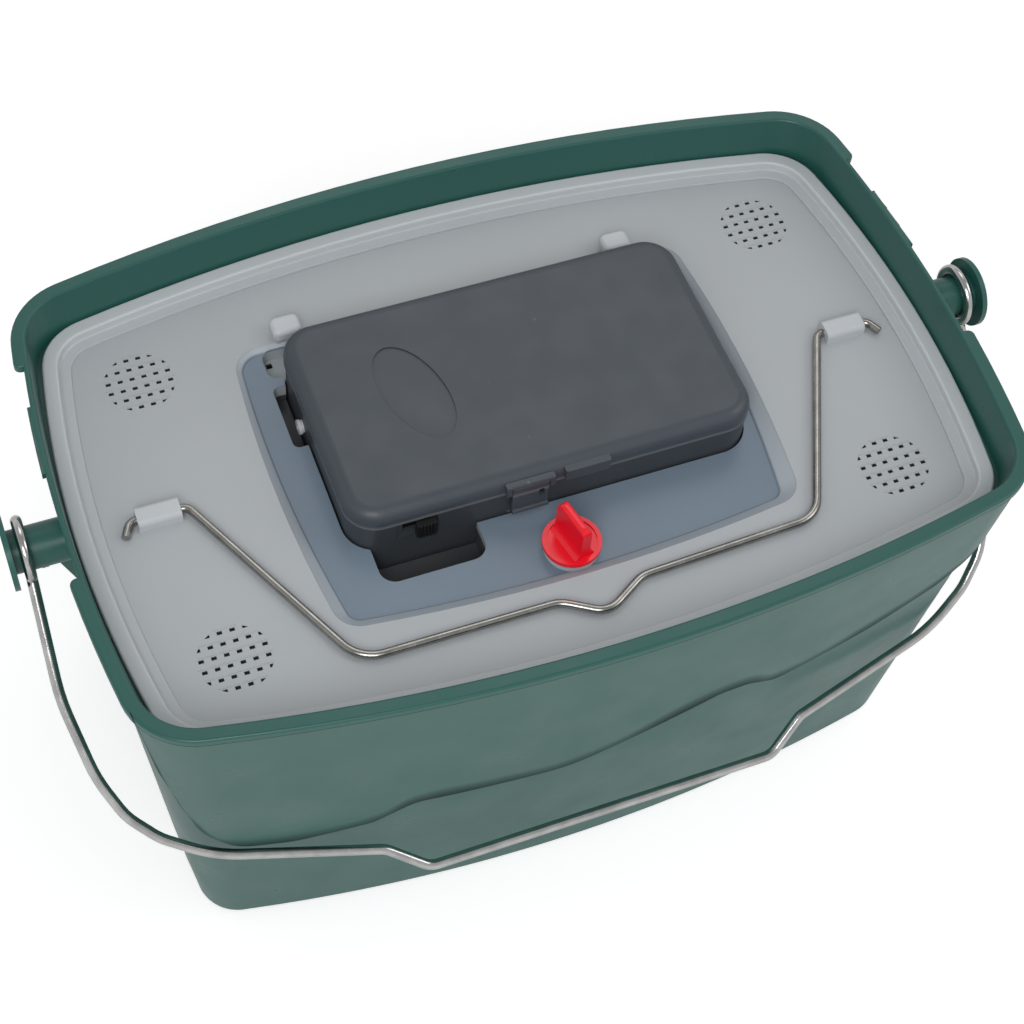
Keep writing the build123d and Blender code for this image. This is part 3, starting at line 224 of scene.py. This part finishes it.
def moulded_plastic(name, colour, roughness, spread=0.08, grain=900.0, grain_depth=0.00002,
                    cloud=9.0, specular=0.5):
    """Plastic with cloudy colour, uneven gloss and a fine moulded grain."""
    material, tree, shader = new_material(name, colour, roughness, specular=specular)
    clouds = object_noise(tree, cloud, 4.0)
    tint = ramp(tree, clouds, [(0.3, shade(colour, 1 - spread)), (0.7, shade(colour, 1 + spread))])
    tree.links.new(tint, shader.inputs["Base Color"])
    gloss = map_range(tree, object_noise(tree, cloud * 5, 5.0), 0.3, 0.7,
                      roughness * 0.85, roughness * 1.15)
    tree.links.new(gloss, shader.inputs["Roughness"])
    add_bump(tree, shader, object_noise(tree, grain, 2.0), 0.5, grain_depth)
    return material, tree, shader


def steel_wire(name, colour, roughness):
    """Drawn steel wire: a fine grain and small dull patches."""
    material, tree, shader = new_material(name, colour, roughness, metallic=1.0)
    patches = object_noise(tree, 120.0, 5.0)
    tint = ramp(tree, patches, [(0.35, shade(colour, 0.82)), (0.65, shade(colour, 1.08))])
    tree.links.new(tint, shader.inputs["Base Color"])
    gloss = map_range(tree, object_noise(tree, 260.0, 4.0), 0.3, 0.7,
                      roughness * 0.7, roughness * 1.4)
    tree.links.new(gloss, shader.inputs["Roughness"])
    add_bump(tree, shader, object_noise(tree, 1500.0, 2.0), 0.4, 0.00002)
    return material


def plain_metal(name, colour, roughness):
    """Plated or drawn sheet metal."""
    material, tree, shader = new_material(name, colour, roughness, metallic=1.0)
    tint = ramp(tree, object_noise(tree, 80.0, 4.0),
                [(0.35, shade(colour, 0.88)), (0.65, shade(colour, 1.06))])
    tree.links.new(tint, shader.inputs["Base Color"])
    add_bump(tree, shader, object_noise(tree, 700.0, 2.0), 0.3, 0.00002)
    return material


def step_height(tree, along_x, along_y):
    """Height of the wandering step on the long walls; the back wall is the front one turned."""
    facing_side = math_node(tree, "SIGN", along_y)
    turned_x = math_node(tree, "MULTIPLY", math_node(tree, "MULTIPLY", along_x, facing_side), -1.0)
    place = rising(tree, turned_x, -step_span, step_span)
    curve = tree.nodes.new("ShaderNodeFloatCurve")
    points = curve.mapping.curves[0].points
    line = [((x + step_span) / (2 * step_span), (bucket_top - drop) / bucket_top)
            for x, drop in step_line]
    points[0].location, points[1].location = line[0], line[-1]
    for x, height in line[1:-1]:
        points.new(x, height)
    curve.mapping.update()
    tree.links.new(place, curve.inputs["Value"])
    return math_node(tree, "MULTIPLY", curve.outputs["Value"], bucket_top)


def bucket_green():
    """Green moulded plastic, glossy, with painted shade at the step and under the lip, where it is
    also duller.
    """
    material, tree, shader = moulded_plastic("bucket_green", GREEN, 0.32, spread=0.03, grain=700.0,
                                             grain_depth=0.00001, specular=0.46)
    base = shader.inputs["Base Color"].links[0].from_socket
    gloss = shader.inputs["Roughness"].links[0].from_socket
    along_x, along_y, height = split_place(tree)
    geometry = tree.nodes.new("ShaderNodeNewGeometry")
    facing = tree.nodes.new("ShaderNodeSeparateXYZ")
    tree.links.new(geometry.outputs["Normal"], facing.inputs["Vector"])
    outward = math_node(tree, "ADD",
                        math_node(tree, "MULTIPLY", facing.outputs["X"], along_x),
                        math_node(tree, "MULTIPLY", facing.outputs["Y"], along_y))
    outside = rising(tree, outward, 0.02, 0.04)
    above_step = math_node(tree, "SUBTRACT", height, step_height(tree, along_x, along_y))
    # Painted shade: a darker band just above the step on the long walls.
    shade_above_step = band(tree, above_step, (-0.0004, 0.0), (0.0, step_shade))
    lip_foot = bucket_top - lip_height
    # Painted shadow: a thin darker band under the lip.
    shade_under_lip = band(tree, height, (lip_foot - 0.0010, lip_foot - 0.0003),
                     (lip_foot + 0.0001, lip_foot + 0.0004))
    # Both painted shades go on the outward faces only, as darker green with more roughness.
    painted_shade = both(tree, math_node(tree, "MAXIMUM", shade_above_step, shade_under_lip), outside)
    shade_green = plain_colour(tree, shade(GREEN, 0.06))
    tree.links.new(mix_colour(tree, painted_shade, base, shade_green), shader.inputs["Base Color"])
    added_roughness = math_node(tree, "MULTIPLY", painted_shade, 0.6)
    tree.links.new(math_node(tree, "ADD", gloss, added_roughness), shader.inputs["Roughness"])
    return material


def frosted_lid():
    """Frosted plastic: pale panel and rim, painted light on the flange and slope, painted shade in
    the well, pits and vent holes, a bluer tray floor that is partly painted shade, white posts.
    """
    material, tree, shader = new_material("frosted_lid", LID_WHITE, 0.36)
    along_x, along_y, height = split_place(tree)
    from_middle = math_node(tree, "ABSOLUTE", along_x)
    above_panel = math_node(tree, "SUBTRACT", height, panel_z)
    floor_rise = math_node(tree, "MULTIPLY", math_node(tree, "SUBTRACT", along_y, tray_front),
                           tray_slope)
    above_floor = math_node(tree, "SUBTRACT",
                            math_node(tree, "ADD", above_panel, tray_front_depth), floor_rise)

    # Each zone fades in or out between the two heights or distances given for its edge.
    on_flange = rising(tree, above_panel, 0.0008, 0.0014)
    on_slope = both(tree, rising(tree, above_floor, 0.0002, 0.0009),
                    falling(tree, above_panel, -0.0006, -0.0001))
    in_well = falling(tree, above_floor, -0.0004, -0.0002)
    on_floor = band(tree, above_floor, (-0.0004, -0.0002), (0.0002, 0.0009))
    on_pit = falling(tree, above_panel, -pit_depth - 0.0004, -pit_depth)
    in_vent = band(tree, from_middle, (vent_inner, vent_inner + 0.0005),
                   (vent_outer - 0.0005, vent_outer))
    in_hole = band(tree, above_panel, (-0.0019, -0.0018), (-0.0004, -0.0002))
    among_posts = both(tree,
                       falling(tree, from_middle, post_reach - 0.0025, post_reach + 0.0025),
                       falling(tree, along_y, post_back - 0.002, post_back + 0.002))
    on_post = both(tree, among_posts,
                   rising(tree, above_panel, post_foot - 0.0007, post_foot + 0.0007))

    pale = ramp(tree, object_noise(tree, 7.0, 3.0),
                [(0.3, shade(LID_WHITE, 0.95)), (0.7, shade(LID_WHITE, 1.04))])
    blue = ramp(tree, object_noise(tree, 11.0, 3.0),
                [(0.3, shade(TRAY_BLUE_AND_SHADE, 0.94)), (0.7, shade(TRAY_BLUE_AND_SHADE, 1.06))])
    pit_shade_grey = plain_colour(tree, PIT_SHADE_GREY)
    # The zones below paint light and shade on the plastic: light on the flange and slope, shade in
    # the well, pits and vent holes, and partly on the tray floor.
    tint = pale
    for zone, colour in ((on_flange, plain_colour(tree, FLANGE_LIT_WHITE)),
                         (on_slope, plain_colour(tree, SLOPE_LIT_WHITE)),
                         (in_well, plain_colour(tree, WELL_SHADE_WHITE)),
                         (on_floor, blue),
                         (on_pit, pit_shade_grey),
                         (both(tree, in_vent, in_hole), pit_shade_grey),
                         (on_post, plain_colour(tree, CLIP_WHITE))):
        tint = mix_colour(tree, zone, tint, colour)
    tree.links.new(tint, shader.inputs["Base Color"])
    shader.inputs["Subsurface Weight"].default_value = 0.12
    shader.inputs["Subsurface Radius"].default_value = (0.004, 0.004, 0.005)
    shader.inputs["Subsurface Scale"].default_value = 0.4
    add_bump(tree, shader, object_noise(tree, 420.0, 2.0), 0.35, 0.00003)
    return material


def dark_case(name, colour):
    """Dark grey plastic with fine texture, small pale scuffs and a painted highlight along the
    lip.
    """
    material, tree, shader = moulded_plastic(name, colour, 0.40, spread=0.05, grain=1100.0,
                                             grain_depth=0.00003, cloud=12.0)
    base = shader.inputs["Base Color"].links[0].from_socket
    scuffs = object_noise(tree, 190.0, 6.0, stretch=(1.0, 0.35, 1.0))
    marks = map_range(tree, scuffs, 0.715, 0.76, 0.0, 0.5)
    worn = mix_colour(tree, marks, base, plain_colour(tree, SCUFF_GREY))
    # A paler band along the lip at the parting line: painted highlight.
    lip_highlight = band(tree, split_place(tree)["Z"], (parting_z - 0.0014, parting_z - 0.0011),
                  (parting_z + 0.0003, parting_z + 0.0006))
    tree.links.new(mix_colour(tree, lip_highlight, worn, plain_colour(tree, LIP_HIGHLIGHT_GREY)),
                   shader.inputs["Base Color"])
    return material


white = moulded_plastic("white_plastic", CLIP_WHITE, 0.30, spread=0.03)[0]
black = moulded_plastic("black_plastic", SWITCH_BLACK, 0.38, spread=0.10)[0]
rubber = moulded_plastic("seal_rubber", SEAL_BLACK, 0.70, spread=0.15, grain=500.0,
                         grain_depth=0.00005)[0]
jacket = moulded_plastic("cell_jacket", JACKET_BLUE, 0.25, spread=0.05)[0]
plated = plain_metal("plated_steel", PLATED_STEEL, 0.28)
motor_steel = plain_metal("motor_steel", CAN_STEEL, 0.35)

finishes = {
    "bucket": bucket_green(),
    "lid": frosted_lid(),
    "pump_case": dark_case("case_grey", CASE_GREY),
    "pump_cover": dark_case("cover_grey", COVER_GREY),
    "plug": moulded_plastic("plug_red", PLUG_RED, 0.22, spread=0.04, grain=500.0)[0],
    "bail_wire": steel_wire("bright_wire", BRIGHT_STEEL, 0.17),
    "lid_handle": steel_wire("satin_wire", SATIN_STEEL, 0.22),
    "mechanism_cover": moulded_plastic("inner_plastic", INNER_GREY, 0.45, spread=0.06)[0],
}
shared_finishes = (
    (finishes["pump_cover"], ("cover_latch",)),
    (white, ("handle_clip_left", "handle_clip_right", "outlet_nozzle", "yoke_rod",
             "diaphragm_clamp", "motor_end_cap")),
    (black, ("switch_slider", "switch_body", "crank_disc", "rod_guide", "valve_block")),
    (rubber, ("plug_seal", "cover_gasket", "diaphragm", "valve_flaps")),
    (plated, ("cover_hinge_pins", "latch_pin", "bracket_screws", "mechanism_screws",
              "motor_shaft", "crank_pin", "contact_terminals", "contact_link",
              "contact_springs")),
    (motor_steel, ("motor_can", "motor_bracket")),
    (jacket, ("battery_front", "battery_rear")),
)
for finish, names in shared_finishes:
    for name in names:
        finishes[name] = finish

for name, node in nodes.items():
    node.data.materials.clear()
    node.data.materials.append(finishes[name])


# ---------------------------------------------------------------- fine moulded ridges
def moulded_bar(left, right, front, back, bottom, top, rounding):
    """A low bar with rounded edges, its place in its mesh."""
    bpy.ops.object.select_all(action="DESELECT")
    bpy.ops.mesh.primitive_cube_add(size=1.0, location=((left + right) / 2, (front + back) / 2,
                                                        (bottom + top) / 2))
    bar = bpy.context.object
    bar.scale = (right - left, back - front, top - bottom)
    bpy.ops.object.transform_apply(location=True, rotation=True, scale=True)
    bpy.ops.object.mode_set(mode="EDIT")
    bpy.ops.mesh.select_all(action="SELECT")
    bpy.ops.mesh.bevel(offset=rounding, segments=2)
    bpy.ops.object.mode_set(mode="OBJECT")
    return bar


def vent_ridges(name, field_x, field_y):
    """The fine ridges that run behind each row of holes in one vent field."""
    bars = []
    for row in range(vent_rows):
        from_middle = (row - (vent_rows - 1) / 2) * vent_pitch + ridge_offset
        half_length = math.sqrt(field_radius**2 - min(from_middle, field_radius)**2)
        ridge_y = field_y + from_middle
        bars.append(moulded_bar(field_x - half_length, field_x + half_length,
                                ridge_y - ridge_width / 2, ridge_y + ridge_width / 2,
                                panel_z - ridge_height, panel_z + ridge_height,
                                ridge_height / 2))
    bpy.ops.object.select_all(action="DESELECT")
    for bar in bars:
        bar.select_set(True)
    bpy.context.view_layer.objects.active = bars[0]
    bpy.ops.object.join()
    ridges = bpy.context.object
    ridges.name = name
    bpy.ops.object.origin_set(type="ORIGIN_CURSOR")
    ridges.data.materials.clear()
    ridges.data.materials.append(finishes["lid"])
    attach(ridges, "lid")


bpy.context.scene.cursor.location = (0.0, 0.0, 0.0)
for end, field_y in (("front", -vent_y), ("back", vent_y)):
    for side, field_x in (("left", -vent_x), ("right", vent_x)):
        vent_ridges(f"vent_ridges_{end}_{side}", field_x, field_y)


# ---------------------------------------------------------------- floor, light, camera
def make_floor():
    """A wide white floor; what the camera sees of it is lifted towards full white."""
    bpy.ops.object.select_all(action="DESELECT")
    bpy.ops.mesh.primitive_plane_add(size=12.0, location=(0.0, 0.0, 0.0))
    floor = bpy.context.object
    floor.name = "floor"
    material, tree, shader = new_material("floor_white", (0.90, 0.90, 0.90), 0.9)
    shader.inputs["Specular IOR Level"].default_value = 0.1
    shader.inputs["Emission Color"].default_value = (1.0, 1.0, 1.0, 1.0)
    path = tree.nodes.new("ShaderNodeLightPath")
    tree.links.new(math_node(tree, "MULTIPLY", path.outputs["Is Camera Ray"], floor_lift),
                   shader.inputs["Emission Strength"])
    floor.data.materials.append(material)


def make_world():
    """White surroundings, dimmer overhead than at the sides, and full white to the camera."""
    world = bpy.data.worlds.new("studio")
    bpy.context.scene.world = world
    world.use_nodes = True
    tree = world.node_tree
    background = tree.nodes["Background"]
    background.inputs["Color"].default_value = (1.0, 1.0, 1.0, 1.0)
    upward = split_place(tree, "Generated")["Z"]
    sky = map_range(tree, upward, 0.1, 0.85, side_light, overhead_light)
    path = tree.nodes.new("ShaderNodeLightPath")
    strength = math_node(tree, "MAXIMUM", sky, path.outputs["Is Camera Ray"])
    tree.links.new(strength, background.inputs["Strength"])


def softbox(name, place, size, power):
    """A square area lamp aimed at the object."""
    data = bpy.data.lights.new(name, "AREA")
    data.shape = "SQUARE"
    data.size = size
    data.energy = power
    lamp = bpy.data.objects.new(name, data)
    bpy.context.scene.collection.objects.link(lamp)
    lamp.location = place
    lamp.rotation_mode = "QUATERNION"
    lamp.rotation_quaternion = (Vector(lamp_target) - Vector(place)).to_track_quat("-Z", "Y")
    return lamp


def make_camera():
    """The photograph's viewpoint, solved from the lid's grids and edges."""
    data = bpy.data.cameras.new("camera")
    data.sensor_width = sensor_width
    data.lens = sensor_width * focal_pixels / frame_pixels
    camera = bpy.data.objects.new("camera", data)
    bpy.context.scene.collection.objects.link(camera)
    right = Vector((0.93378, -0.35394, 0.05281))
    down = Vector((-0.26641, -0.78608, -0.55778))
    forward = Vector((0.23893, 0.50677, -0.82831))
    place = Vector((-0.18927, -0.40559, 0.77323))
    camera.matrix_world = Matrix(((right.x, -down.x, -forward.x, place.x),
                                  (right.y, -down.y, -forward.y, place.y),
                                  (right.z, -down.z, -forward.z, place.z),
                                  (0.0, 0.0, 0.0, 1.0)))
    data.clip_start, data.clip_end = 0.05, 50.0
    bpy.context.scene.camera = camera


make_floor()
make_world()
softbox("key_soft", (-0.7, -1.35, 1.7), size=1.0, power=17.0)
softbox("right_soft", (1.5, -0.5, 1.5), size=0.9, power=5.0)
crown_soft = softbox("crown_soft", (0.72, 1.53, 2.6), size=1.3, power=7.5)
crown_soft.visible_diffuse = False                  # it shows in reflections only
make_camera()

scene = bpy.context.scene
scene.view_settings.view_transform = "Standard"
